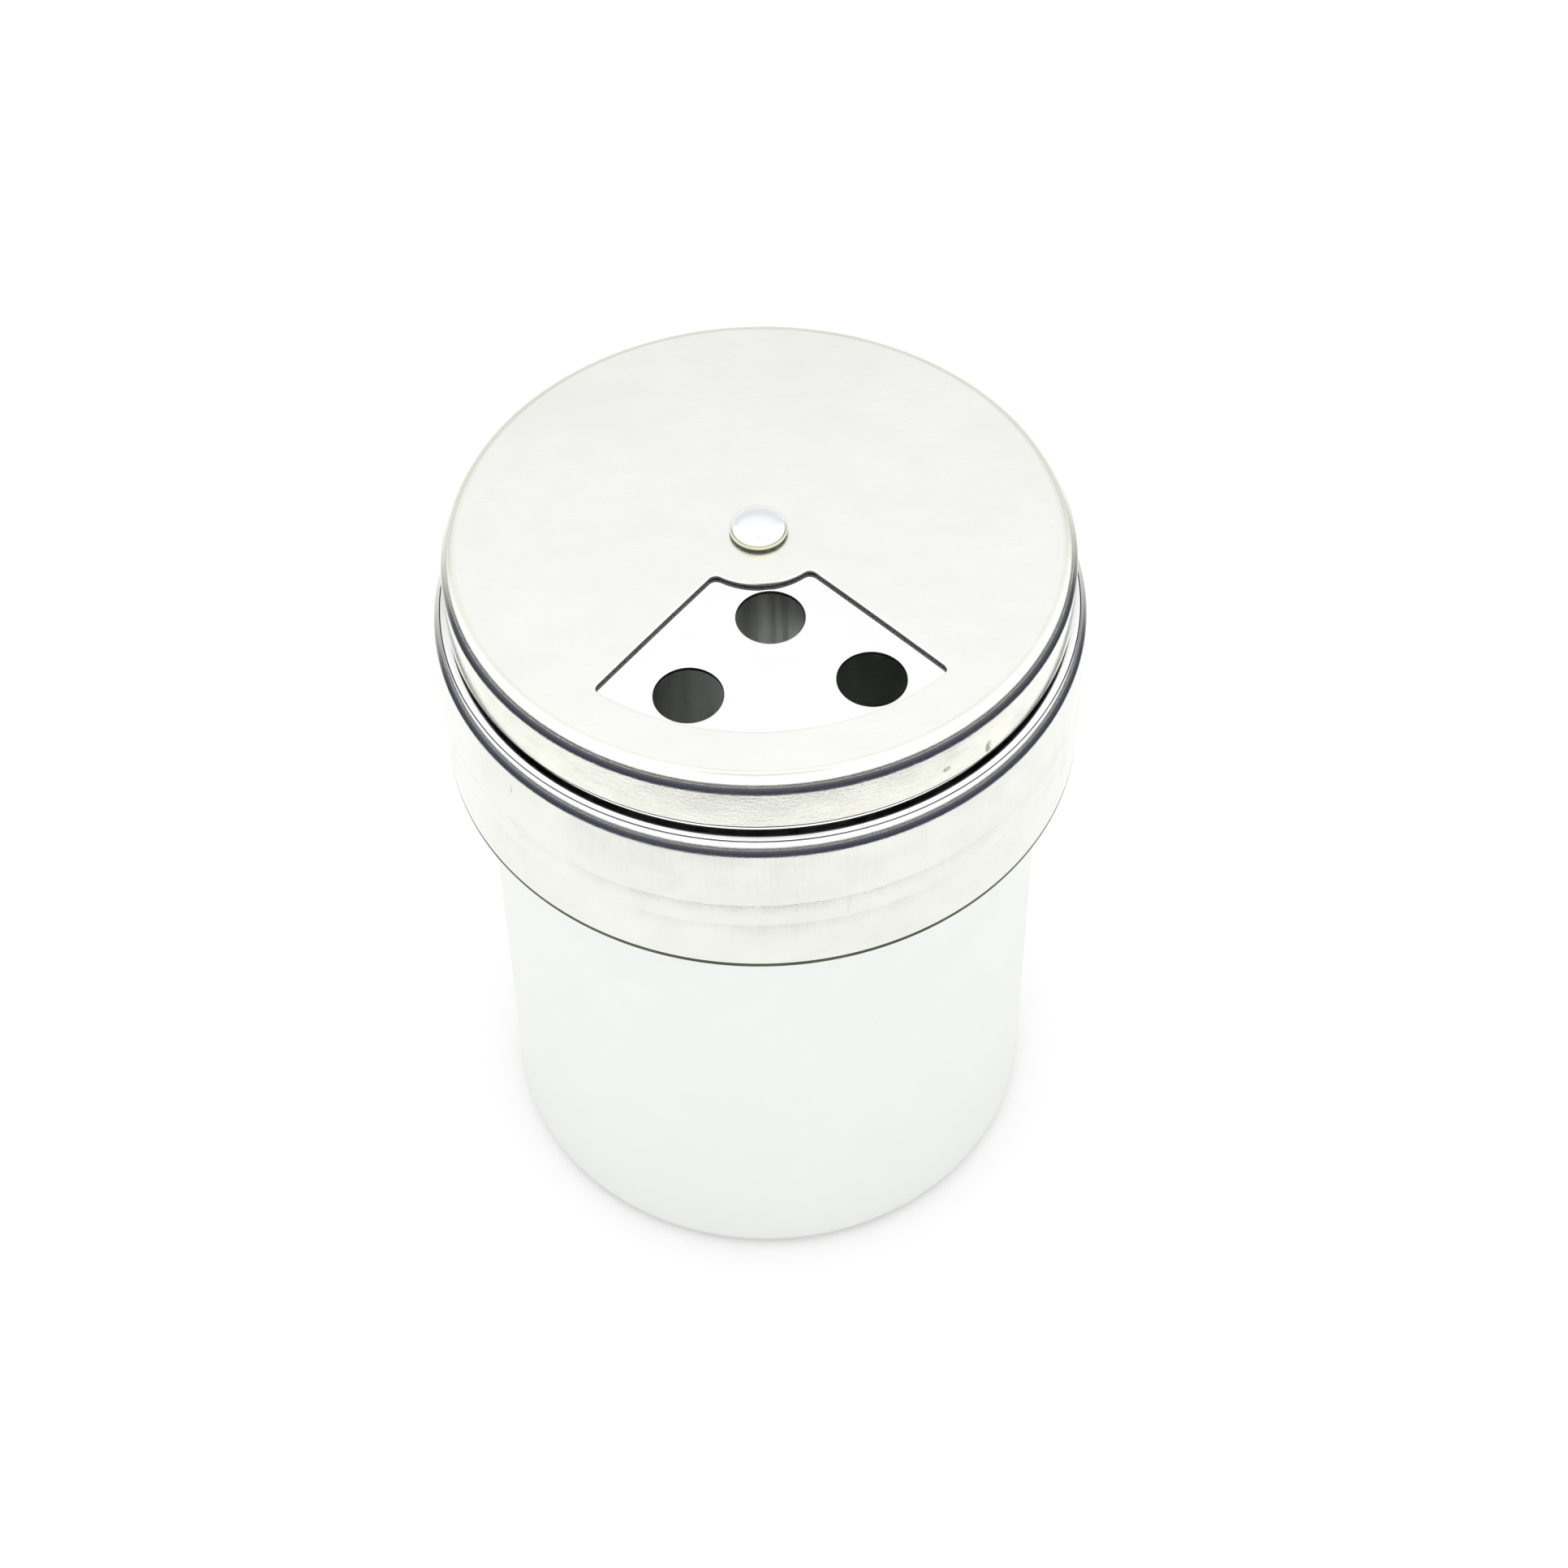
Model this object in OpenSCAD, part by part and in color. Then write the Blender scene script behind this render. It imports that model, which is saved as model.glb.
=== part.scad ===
// Stainless steel spice shaker: a drawn jar, a two-part screw lid with a perforated
// plate, and a dial with one window that turns on a rivet to choose the holes.
// Millimetres, +Z up, origin at the centre of the foot. The window faces -Y.

/* [Jar] */
// Height of the jar's rim above the foot
rim_z = 73.76; // [60:0.02:100]
// How far the threaded neck stands out from the body
neck_step = 2; // [1:0.1:3]
// How far above the collar's hem the neck begins
neck_rise = 3.75; // [2.6:0.01:3.95]
// Height of the flare between body and neck
flare_h = 2.6; // [2:0.1:4]
// Thickness of the jar's steel
jar_wall = 0.4; // [0.3:0.05:0.6]
// Outside radius of the corner between wall and base
base_corner_r = 2; // [1.2:0.1:4]
// Width of the ring that the jar stands on
foot_w = 2.2; // [1.5:0.1:4]
// How far the middle of the base is raised above the foot
base_recess = 0.7; // [0.4:0.1:1.5]
// Outside radius of the curl that finishes the rim
rim_curl_r = 0.8; // [0.65:0.05:0.9]

/* [Screw collar] */
// Outer diameter of the collar, which the neck, plate and dial follow
collar_d = 63; // [50:0.1:80]
// Length of the collar from its hem to the top of its shoulder
collar_h = 18.5; // [14.5:0.02:24]
// Thickness of the lid's steel
lid_wall = 0.4; // [0.3:0.05:0.5]
// Outside radius of the rolled shoulder
shoulder_r = 1.5; // [1.2:0.1:2]
// Angle up the shoulder at which the collar ends and the shaker plate shows
seam_angle = 58; // [45:1:65]
// Total thickness of the folded hem
hem_t = 0.75; // [0.6:0.05:0.8]
// Height of the folded hem
hem_h = 2.2; // [1.2:0.1:3]

/* [Thread] */
// Rise of the thread in one turn
thread_lead = 3; // [2.4:0.1:3.6]
// Turns of thread on the neck and in the collar
thread_turns = 1.5; // [1:0.25:2]
// Height above the hem at which the collar's ridge starts
ridge_rise = 5.6; // [4.4:0.05:6.4]
// Direction in which the collar's ridge starts, in degrees from +X
ridge_start = 197; // [0:1:359]
// How far a bead or ridge narrows on each side from its foot to its top
thread_flank = 0.35; // [0.25:0.05:0.4]

/* [Shaker plate] */
// Width of the flat ledge around the platform
ledge_w = 0.2; // [0.1:0.1:2]
// Radius between the platform and the ledge around it
ledge_fillet_r = 0.4; // [0.2:0.1:0.5]
// Outside radius of the platform's upper corner
platform_corner_r = 1; // [0.8:0.1:1.5]
// Direction of the large holes from the middle of the window, in degrees
pattern_turn = 2.3; // [-10:0.1:10]
// Diameter of the three large holes
large_d = 6.5; // [5:0.1:7.8]
// Distance from the window's inner edge to the inner large hole
large_inner_margin = 0.45; // [0.1:0.05:1]
// Distance from the window's outer edge to the two outer large holes
large_outer_margin = 0.55; // [0.1:0.05:1.5]
// Half the angle between the two outer large holes
large_half_angle = 24; // [20:1:26]
// Diameter of the medium holes
medium_d = 3.4; // [2.5:0.1:4]
// Rows of medium holes, counted outwards
medium_rows = 3; // [2:1:3]
// Medium holes in the innermost row, with one more in each row outside it
medium_first = 2; // [2:1:3]
// Angle that each row of medium holes spans
medium_spread = 50; // [45:1:60]
// Diameter of the fine holes
fine_d = 1.8; // [1:0.1:2.2]
// Rows of fine holes, counted outwards
fine_rows = 4; // [2:1:5]
// Fine holes in the innermost row, with one more in each row outside it
fine_first = 3; // [2:1:4]
// Angle that each row of fine holes spans
fine_spread = 56; // [45:1:66]
// Distance from the window's edges to the middle of the nearest row of small holes
row_margin = 3.4; // [2.5:0.1:4.5]

/* [Dial] */
// Height of the dial from the edge of its skirt to its flat rim
dial_h = 6.42; // [5:0.02:9]
// Outside radius of the dial's rolled edge
dial_corner_r = 1.5; // [1.2:0.1:2]
// How far the middle of the dial stands above its rim
crown_h = 0.65; // [0.3:0.05:1]
// Gap between the skirt's edge and the ledge below it
skirt_gap = 0.95; // [0.5:0.05:1.5]
// Width of steel between the rivet's head and the window
window_web = 3.95; // [3:0.05:5]
// Width of steel between the window and the rolled edge
window_border = 4.3; // [3:0.1:6]
// Angle that the window spans
window_angle = 84; // [75:1:88]
// Radius of the window's corners
window_corner_r = 1; // [0.5:0.1:1.5]

/* [Rivet] */
// Diameter of the rivet's shank
shank_d = 3; // [2.5:0.1:3.5]
// Diameter of the rivet's head
head_d = 5.5; // [4.8:0.1:7]
// Height of the rivet's head
head_h = 1.5; // [0.7:0.05:1.8]
// Height of the straight edge below the head's dome
head_edge_h = 0.5; // [0.1:0.05:0.6]
// Diameter of the tail spread under the washer
tail_d = 4.8; // [4:0.1:6]
// Thickness of the spread tail
tail_h = 0.6; // [0.4:0.1:1]
// Outer diameter of the washer
washer_d = 9; // [7:0.1:11]
// Thickness of the washer
washer_t = 0.6; // [0.4:0.1:1]

/* [Fits] */
// Gap between the rim of the jar and the lid that closes on it
seat_gap = 0.15; // [0.1:0.05:0.3]
// Radial room between neck and collar, which the thread fills
thread_room = 1; // [0.85:0.05:1.3]
// Radial gap between the top of the collar's ridge and the neck
ridge_gap = 0.3; // [0.25:0.05:0.4]
// Radial gap between the jar's bead and the hem that passes over it
hem_gap = 0.1; // [0.08:0.01:0.2]
// Gap along the axis between the foot of a bead and the foot of the ridge beside it
thread_play = 0.2; // [0.15:0.05:0.4]
// Radial gap between the platform and the dial's skirt
platform_gap = 0.4; // [0.2:0.05:1]
// Gap between the dial and the plate below it
dial_gap = 0.15; // [0.1:0.05:0.25]
// Radial gap between the rivet and the pieces that turn on it
rivet_fit = 0.05; // [0.03:0.01:0.1]
// Gap between the rivet's head and the dial, and between washer and plate
rivet_play = 0.06; // [0.04:0.01:0.1]

/* [Hidden] */
$fn = 96;
STEEL = [0.86, 0.87, 0.85];
BRIGHT = [0.92, 0.93, 0.94];
ARC_STEPS = 8;
CROWN_STEPS = 6;
THREAD_STEPS = 48;
// How deep a bead or ridge is rooted in its wall
ROOT = 0.2;
// Share of the thread's length over which each end rises, and its height at the very end
TAPER = 0.06;
END_HEIGHT = 0.02;
// How far a cutting shape runs past the steel
THROUGH = 1;
// How far apart two outlines' ends stay where they join
JOIN = 0.02;
// Angles on the shoulder between which the plate's lap lies under the collar
LAP_LOW = 20;
LAP_HIGH = 72;
// Angle at which the rim's curl ends
CURL_END = 235;

collar_r = collar_d / 2;
neck_r = collar_r - lid_wall - thread_room;
body_r = neck_r - neck_step;
platform_r = collar_r - shoulder_r - ledge_w - ledge_fillet_r;
dial_r = platform_r + platform_gap + lid_wall;
crown_r = dial_r - dial_corner_r;
window_r_in = head_d / 2 + window_web;
window_r_out = crown_r - window_border;

ledge_z = rim_z + seat_gap + lid_wall;
hem_z = ledge_z - collar_h;
shoulder = [collar_r - shoulder_r, ledge_z - shoulder_r];
skirt_z = ledge_z + skirt_gap;
dial_z = skirt_z + dial_h;
plate_drop = lid_wall + dial_gap;

rim_centre = [neck_r - rim_curl_r, rim_z - rim_curl_r];
neck_z = hem_z + neck_rise;
ridge_z = hem_z + ridge_rise;
ridge_h = thread_room - ridge_gap;
bead_h = thread_room + lid_wall - hem_t - hem_gap;
bead_w = thread_lead / 2 - thread_play;
bead_top_w = bead_w - 2 * thread_flank;

large_inner_rho = window_r_in + large_inner_margin + large_d / 2;
large_outer_rho = window_r_out - large_outer_margin - large_d / 2;
row_in = window_r_in + row_margin;
row_out = window_r_out - row_margin;

dial_hole_r = shank_d / 2 + rivet_fit;
head_z = dial_z + crown_h + rivet_play;

// Points along an arc about a centre, from one angle to another
function arc(centre, r, from, to, steps = ARC_STEPS) =
    [for (i = [0:steps])
        let (a = from + (to - from) * i / steps)
        centre + r * [cos(a), sin(a)]];

function reversed(points) = [for (i = [len(points) - 1:-1:0]) points[i]];

// Height of the crowned top above the dial's rim
function crown(r) = crown_h * (1 - pow(min(r, crown_r) / crown_r, 2));

// The washer lies under the plate, whose underside is lowest at the washer's edge
washer_top_z = dial_z + crown(washer_d / 2) - plate_drop - lid_wall - rivet_play;
washer_z = washer_top_z - washer_t;

// Points across the crowned top between two radii, lowered by a drop
function crown_path(from, to, drop) =
    [for (i = [0:CROWN_STEPS])
        let (r = from + (to - from) * i / CROWN_STEPS)
        [r, dial_z - drop + crown(r)]];

// Points of the S-shaped flare from the body to the neck
function flare_path(inset) =
    [for (i = [0:ARC_STEPS])
        let (t = i / ARC_STEPS)
        [body_r - inset + (neck_r - body_r) * (1 - cos(180 * t)) / 2,
         neck_z - flare_h * (1 - t)]];

module lathe(points) {
    rotate_extrude() polygon(points);
}

// One cross-section of a thread, as four points around the axis
function thread_ring(r_foot, r_top, z, angle) =
    [for (p = [[r_foot, -bead_w / 2], [r_top, -bead_top_w / 2],
               [r_top, bead_top_w / 2], [r_foot, bead_w / 2]])
        [p[0] * cos(angle), p[0] * sin(angle), z + p[1]]];

// A helical bead on a wall of radius r that stands h out, or in where h is negative
module thread(r, h, z, start) {
    steps = round(THREAD_STEPS * thread_turns);
    foot = r - sign(h) * ROOT;
    rings = [for (i = [0:steps])
        let (t = i / steps)
        let (full = min(1, min(t, 1 - t) / TAPER))
        each thread_ring(foot, r + h * max(full, END_HEIGHT), z + thread_lead * thread_turns * t,
                         start + 360 * thread_turns * t)];
    sides = [for (i = [0:steps - 1])
        for (k = [0:3])
        let (a = 4 * i + k)
        let (b = 4 * i + (k + 1) % 4)
        each [[a, b, b + 4], [a, b + 4, a + 4]]];
    last = 4 * steps;
    ends = [[3, 2, 1, 0], [last, last + 1, last + 2, last + 3]];
    faces = concat(sides, ends);
    polyhedron(rings, h > 0 ? faces : [for (f = faces) reversed(f)]);
}

module jar() {
    corner = [body_r - base_corner_r, base_corner_r];
    foot_r = body_r - base_corner_r - foot_w;
    panel_r = foot_r - base_recess;
    outer = concat(
        [[0, base_recess], [panel_r, base_recess], [foot_r, 0]],
        arc(corner, base_corner_r, -90, 0),
        flare_path(0),
        arc(rim_centre, rim_curl_r, 0, CURL_END, 2 * ARC_STEPS));
    inner = concat(
        [[0, base_recess + jar_wall], [panel_r, base_recess + jar_wall], [foot_r, jar_wall]],
        arc(corner, base_corner_r - jar_wall, -90, 0),
        flare_path(jar_wall),
        arc(rim_centre, rim_curl_r - jar_wall, 0, CURL_END, 2 * ARC_STEPS));
    color(STEEL) union() {
        lathe(concat(outer, reversed(inner)));
        thread(neck_r, bead_h, ridge_z + thread_lead / 2, ridge_start);
    }
}

module screw_collar() {
    hem_r = hem_t / 2;
    hem_centre = [collar_r - hem_r, hem_z + hem_r];
    profile = concat(
        arc(hem_centre, hem_r, -180, 0),
        arc(shoulder, shoulder_r, 0, seam_angle),
        arc(shoulder, shoulder_r - lid_wall, seam_angle, 0),
        [[collar_r - lid_wall, hem_z + hem_h], [collar_r - hem_t, hem_z + hem_h]]);
    color(STEEL) union() {
        lathe(profile);
        thread(collar_r - lid_wall, -ridge_h, ridge_z, ridge_start);
    }
}

// The platform and its flange, which runs under the collar's shoulder
module plate_shell() {
    corner = [platform_r - platform_corner_r, dial_z - plate_drop - platform_corner_r];
    fillet = [platform_r + ledge_fillet_r, ledge_z + ledge_fillet_r];
    outer = concat(
        crown_path(dial_hole_r, corner[0] - JOIN, plate_drop),
        arc(corner, platform_corner_r, 90, 0),
        arc(fillet, ledge_fillet_r, 180, 270),
        arc(shoulder, shoulder_r, 90, seam_angle));
    inner = concat(
        crown_path(dial_hole_r, corner[0] - JOIN, plate_drop + lid_wall),
        arc(corner, platform_corner_r - lid_wall, 90, 0),
        arc(fillet, ledge_fillet_r + lid_wall, 180, 270),
        arc(shoulder, shoulder_r - lid_wall, 90, seam_angle));
    lap = concat(
        arc(shoulder, shoulder_r - lid_wall, LAP_LOW, LAP_HIGH),
        arc(shoulder, shoulder_r - 2 * lid_wall, LAP_HIGH, LAP_LOW));
    lathe(concat(outer, reversed(inner)));
    lathe(lap);
}

// A hole through the plate, at a distance from the axis and an angle from -Y
module plate_hole(d, rho, angle) {
    low = dial_z - plate_drop - lid_wall - THROUGH;
    rotate([0, 0, angle]) translate([0, -rho, low])
        cylinder(d = d, h = crown_h + lid_wall + 2 * THROUGH);
}

// Rows of holes from the window's inner edge to its outer edge, with one more hole in each
module hole_rows(d, rows, first, spread, angle) {
    for (row = [0:rows - 1])
        for (i = [0:first + row - 1])
            plate_hole(d, row_in + (row_out - row_in) * row / (rows - 1),
                       angle + spread * (i / (first + row - 1) - 0.5));
}

module shaker_plate() {
    color(BRIGHT) difference() {
        plate_shell();
        plate_hole(large_d, large_inner_rho, pattern_turn);
        for (side = [-1, 1])
            plate_hole(large_d, large_outer_rho, pattern_turn + side * large_half_angle);
        hole_rows(medium_d, medium_rows, medium_first, medium_spread, pattern_turn + 90);
        hole_rows(fine_d, fine_rows, fine_first, fine_spread, pattern_turn - 90);
    }
}

// The window's outline: a sector of a ring with rounded corners
module window_outline() {
    reach = 2 * window_r_out;
    half = window_angle / 2;
    offset(r = window_corner_r) offset(delta = -window_corner_r) difference() {
        intersection() {
            circle(r = window_r_out);
            polygon([[0, 0], [-reach * sin(half), -reach * cos(half)],
                     [reach * sin(half), -reach * cos(half)]]);
        }
        circle(r = window_r_in);
    }
}

module dial() {
    corner = [dial_r - dial_corner_r, dial_z - dial_corner_r];
    outer = concat(
        crown_path(dial_hole_r, crown_r - JOIN, 0),
        arc(corner, dial_corner_r, 90, 0),
        [[dial_r, skirt_z]]);
    inner = concat(
        crown_path(dial_hole_r, crown_r - JOIN, lid_wall),
        arc(corner, dial_corner_r - lid_wall, 90, 0),
        [[dial_r - lid_wall, skirt_z]]);
    color(STEEL) difference() {
        lathe(concat(outer, reversed(inner)));
        translate([0, 0, dial_z - lid_wall - THROUGH])
            linear_extrude(crown_h + lid_wall + 2 * THROUGH) window_outline();
    }
}

module rivet() {
    dome = [for (i = [0:ARC_STEPS])
        let (a = 90 * i / ARC_STEPS)
        [head_d / 2 * cos(a), head_z + head_edge_h + (head_h - head_edge_h) * sin(a)]];
    tail_z = washer_z - tail_h;
    color(BRIGHT) lathe(concat(
        [[0, tail_z], [tail_d / 2, tail_z], [tail_d / 2, washer_z], [shank_d / 2, washer_z],
         [shank_d / 2, head_z], [head_d / 2, head_z]],
        dome));
}

module rivet_washer() {
    color(STEEL) translate([0, 0, washer_z]) difference() {
        cylinder(d = washer_d, h = washer_t);
        translate([0, 0, -THROUGH]) cylinder(r = dial_hole_r, h = washer_t + 2 * THROUGH);
    }
}

jar();
screw_collar();
shaker_plate();
dial();
rivet();
rivet_washer();
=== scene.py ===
import math

import bmesh
import bpy
from mathutils import Matrix, Vector
from mathutils.geometry import delaunay_2d_cdt


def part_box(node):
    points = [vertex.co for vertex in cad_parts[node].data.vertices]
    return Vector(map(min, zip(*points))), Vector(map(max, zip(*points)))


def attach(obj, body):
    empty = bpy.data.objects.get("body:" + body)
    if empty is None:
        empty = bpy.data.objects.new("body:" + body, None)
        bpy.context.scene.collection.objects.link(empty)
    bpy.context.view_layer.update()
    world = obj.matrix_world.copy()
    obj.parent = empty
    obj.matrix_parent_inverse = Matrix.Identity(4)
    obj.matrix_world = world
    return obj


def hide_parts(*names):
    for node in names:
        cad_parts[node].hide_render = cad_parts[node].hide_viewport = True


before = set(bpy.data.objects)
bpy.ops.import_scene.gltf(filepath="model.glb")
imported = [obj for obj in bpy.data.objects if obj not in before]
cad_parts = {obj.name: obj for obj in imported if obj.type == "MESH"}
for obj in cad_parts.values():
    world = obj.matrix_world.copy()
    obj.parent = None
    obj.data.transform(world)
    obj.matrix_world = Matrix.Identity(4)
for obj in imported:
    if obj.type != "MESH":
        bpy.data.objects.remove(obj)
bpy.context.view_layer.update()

# A stainless steel spice shaker. Lengths are in metres, in the CAD model's frame: +Z up, and the
# dial's window faces -Y. The CAD boxes give the overall sizes, and the values below give the rest.

MM = 0.001


def node_box(name):
    lo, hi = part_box(name)
    return Vector(lo), Vector(hi)


_, JAR_HI = node_box("jar")
COLLAR_LO, COLLAR_HI = node_box("screw_collar")
DIAL_LO, DIAL_HI = node_box("dial")
RIVET_LO, RIVET_HI = node_box("rivet")
WASHER_LO, WASHER_HI = node_box("rivet_washer")

SHEET = 0.4 * MM            # thickness of every drawn piece
BURR = 0.05 * MM            # rounding of a punched edge
ROLL_EASE = 0.3 * MM        # how much lower a rolled corner begins than a plain arc would
TURNS_ROUND = 256           # vertices round each piece

# Dial
DIAL_R = DIAL_HI.x
DIAL_ROLL = 1.5 * MM
CROWN = 0.65 * MM
DIAL_RIM_Z = DIAL_HI.z - CROWN
CROWN_R = DIAL_R - DIAL_ROLL
WINDOW_IN = 6.7 * MM
WINDOW_OUT = 24.4 * MM
WINDOW_HALF = math.radians(42)
WINDOW_CORNER = 0.8 * MM
PIN_HOLE_R = 1.55 * MM

# Rivet
PIN_R = 1.5 * MM
TAIL_R = 2.4 * MM
TAIL_ROLL = 0.2 * MM
TAIL_CUP_R = 1.2 * MM       # the hollow left in the spread tail
TAIL_CUP_H = 0.25 * MM
HEAD_GAP = 0.06 * MM        # air between the dial and the head
HEAD_EDGE_H = 0.5 * MM
HEAD_UNDER_H = 0.3 * MM     # how far up its edge the head is painted dark, as shadow of the gap under it

# Shaker plate
PLATE_DROP = SHEET + 0.15 * MM
PLATFORM_R = 29.4 * MM
PLATFORM_ROLL = 1.0 * MM
LEDGE_Z = DIAL_LO.z - 0.95 * MM
LEDGE_FILLET = 0.4 * MM
PATTERN_TURN = 2.3
LARGE_R = 3.25 * MM
MEDIUM_R = 1.7 * MM
FINE_R = 0.9 * MM
LARGE_IN = 10.4 * MM
LARGE_OUT = 20.6 * MM
LARGE_TURN = 24
ROW_IN = 10.1 * MM
ROW_OUT = 21.0 * MM
LAP_LOW, LAP_HIGH = 20, 72  # degrees up the shoulder where the lap under the collar runs

# Collar
COLLAR_R = COLLAR_HI.x
SHOULDER_ROLL = 1.5 * MM
SHOULDER = (COLLAR_R - SHOULDER_ROLL, LEDGE_Z - SHOULDER_ROLL)
SEAM_ANGLE = 58
SEAM_HALF = 4               # degrees each way that count as the seam
SEAM_DEPTH = 0.1 * MM       # how far the steel dips at the seam
TOUCH = 0.01 * MM           # air left between lapped sheets
HEM_T = 0.75 * MM
HEM_H = 2.2 * MM
HEM_LINE = 0.72 * MM        # height of the painted shade along the bottom of the hem
WALL_STEPS = 140            # rings up the collar's outside
INNER_STEPS = 110           # rings up its inside and up the jar's neck

# Jar
BODY_R = 28.1 * MM
NECK_R = 30.1 * MM
BASE_ROLL = 2.0 * MM
FOOT_W = 2.2 * MM
BASE_RECESS = 0.7 * MM
CURL_R = 0.8 * MM
NECK_H = 14.2 * MM
FLARE_H = 2.6 * MM

# Thread: the ridge starts at this angle and height, and the jar's bead lies half a lead above it
LEAD = 3.0 * MM
THREAD_TURNS = 1.5
RIDGE_START = math.radians(197)
RIDGE_Z = COLLAR_LO.z + 5.6 * MM
THREAD_FOOT = 1.3 * MM
THREAD_TOP = 0.45 * MM
BEAD_H = 0.53 * MM
RIDGE_H = 0.66 * MM
MARK_DEPTH = 0.07 * MM      # the ridge's trace on the collar's outside
MARK_RISE = 0.62 * MM
MARK_LENGTH = 1.75 * MM

# Surroundings
LENS = 72.44
SENSOR = 36.0
CAMERA_PLACE = (-0.01013, -0.20711, 0.29670)
CAMERA_HEADING = -0.05887   # radians, as the next two are
CAMERA_PITCH = 0.8820
CAMERA_ROLL = -0.0132
CARD_IN_R = 0.0985
CARD_OUT_R = 1.6
BACK_FROM, BACK_TO = 0.45, 0.8      # Y over the distance from the axis, where the back begins


# ---------------------------------------------------------------- outlines

def arc(centre, r, start, end, steps=10):
    """Points (r, z) along an arc, with the angles in degrees."""
    points = []
    for i in range(steps + 1):
        a = math.radians(start + (end - start) * i / steps)
        points.append((centre[0] + r * math.cos(a), centre[1] + r * math.sin(a)))
    return points


def rolled(centre, r, start, end, steps=10):
    """Points along a rolled corner, which eases into the wall below it."""
    points = []
    for x, z in arc(centre, r, start, end, steps):
        points.append((x, z - ROLL_EASE * (1 - min(1.0, (z - centre[1]) / r)) ** 2))
    return points


def on_wall(r, angle, z, half_width, half_height):
    """The centre and reach of a spot on an upright wall, from degrees and millimetres."""
    a = math.radians(angle)
    return ((r * math.cos(a), r * math.sin(a), z * MM),
            (half_width * MM, half_width * MM, half_height * MM))


def line(a, b, step=0.7 * MM, support=0.08 * MM):
    """Points from a to b, with one close to each end so that the shading stays flat between."""
    length = math.hypot(b[0] - a[0], b[1] - a[1])
    if length < 3 * support:
        return [a, b]
    count = max(1, math.ceil((length - 2 * support) / step))
    places = [0.0]
    places += [support + (length - 2 * support) * i / count for i in range(count + 1)]
    places.append(length)
    return [(a[0] + (b[0] - a[0]) * s / length, a[1] + (b[1] - a[1]) * s / length) for s in places]


def path(*parts):
    """Joins stretches of points, with a line across any gap between them."""
    joined = list(parts[0])
    for part in parts[1:]:
        last, first = joined[-1], part[0]
        if math.hypot(first[0] - last[0], first[1] - last[1]) > 1e-7:
            joined += line(last, first)[1:]
        joined += part[1:]
    return joined


def crown(r):
    """Height of the crowned top above its rim."""
    return CROWN * (1 - min(r / CROWN_R, 1.0) ** 2)


def thread_height(angle, z, foot_z):
    """How much of a helical thread's height is reached at an angle round the axis, from 0 to 1."""
    best = 0.0
    turn = (angle - RIDGE_START) / (2 * math.pi)
    for k in range(-2, 3):
        t = turn + k
        if -0.02 <= t <= THREAD_TURNS + 0.02:
            away = abs(z - foot_z - LEAD * t)
            flank = (THREAD_FOOT - THREAD_TOP) / 2
            side = min(1.0, max(0.0, (THREAD_FOOT / 2 - away) / flank))
            end = min(1.0, max(0.0, min(t + 0.02, THREAD_TURNS + 0.02 - t) / 0.09))
            side = side * side * (3 - 2 * side)
            best = max(best, side * end * end * (3 - 2 * end))
    return best


# ---------------------------------------------------------------- meshes

def ring_angle(i):
    """Angle of a vertex round the axis. The first lies at the back."""
    return math.pi / 2 + 2 * math.pi * i / TURNS_ROUND


def add_ring(bm, r, z, displace=None):
    ring = []
    for i in range(TURNS_ROUND):
        a = ring_angle(i)
        rr = r + (displace(a, z) if displace else 0.0)
        ring.append(bm.verts.new((rr * math.cos(a), rr * math.sin(a), z)))
    return ring


def bridge(bm, a, b, slot=0):
    n = len(a)
    for i in range(n):
        k = (i + 1) % n
        face = bm.faces.new((a[i], b[i], b[k], a[k]))
        face.material_index = slot


def finish_mesh(name, bm, materials, sharp=40):
    bmesh.ops.remove_doubles(bm, verts=bm.verts, dist=1e-8)
    bmesh.ops.recalc_face_normals(bm, faces=bm.faces)
    mesh = bpy.data.meshes.new(name)
    bm.to_mesh(mesh)
    bm.free()
    for face in mesh.polygons:
        face.use_smooth = True
    mesh.set_sharp_from_angle(angle=math.radians(sharp))
    for material in materials:
        mesh.materials.append(material)
    piece = bpy.data.objects.new(name, mesh)
    bpy.context.scene.collection.objects.link(piece)
    return piece


def lathe(name, outline, materials, closed=True, displace=None, slots=None):
    """Turns an outline of (r, z) points about Z.

    displace(index) gives a point's own function from angle and z to a radial shift, or None, and
    slots(index) the material slot of the stretch that starts there.
    """
    bm = bmesh.new()
    rings = []
    for k, (r, z) in enumerate(outline):
        if r < 1e-7:
            rings.append([bm.verts.new((0, 0, z))])
        else:
            rings.append(add_ring(bm, r, z, displace(k) if displace else None))
    pairs = list(zip(rings, rings[1:]))
    if closed:
        pairs.append((rings[-1], rings[0]))
    for k, (a, b) in enumerate(pairs):
        slot = slots(k) if slots else 0
        if len(a) == 1 and len(b) == 1:
            continue
        if len(a) == 1 or len(b) == 1:
            tip, ring = (a[0], b) if len(a) == 1 else (b[0], a)
            for i in range(len(ring)):
                bm.faces.new((tip, ring[i], ring[(i + 1) % len(ring)])).material_index = slot
        else:
            bridge(bm, a, b, slot)
    return finish_mesh(name, bm, materials)


# ---------------------------------------------------------------- pierced sheets

def round_hole(x, y, r, count):
    """A round opening, as a function from an offset to its outline."""
    def outline(offset):
        return [(x + (r + offset) * math.cos(2 * math.pi * i / count),
                 y + (r + offset) * math.sin(2 * math.pi * i / count)) for i in range(count)]
    return outline


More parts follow.
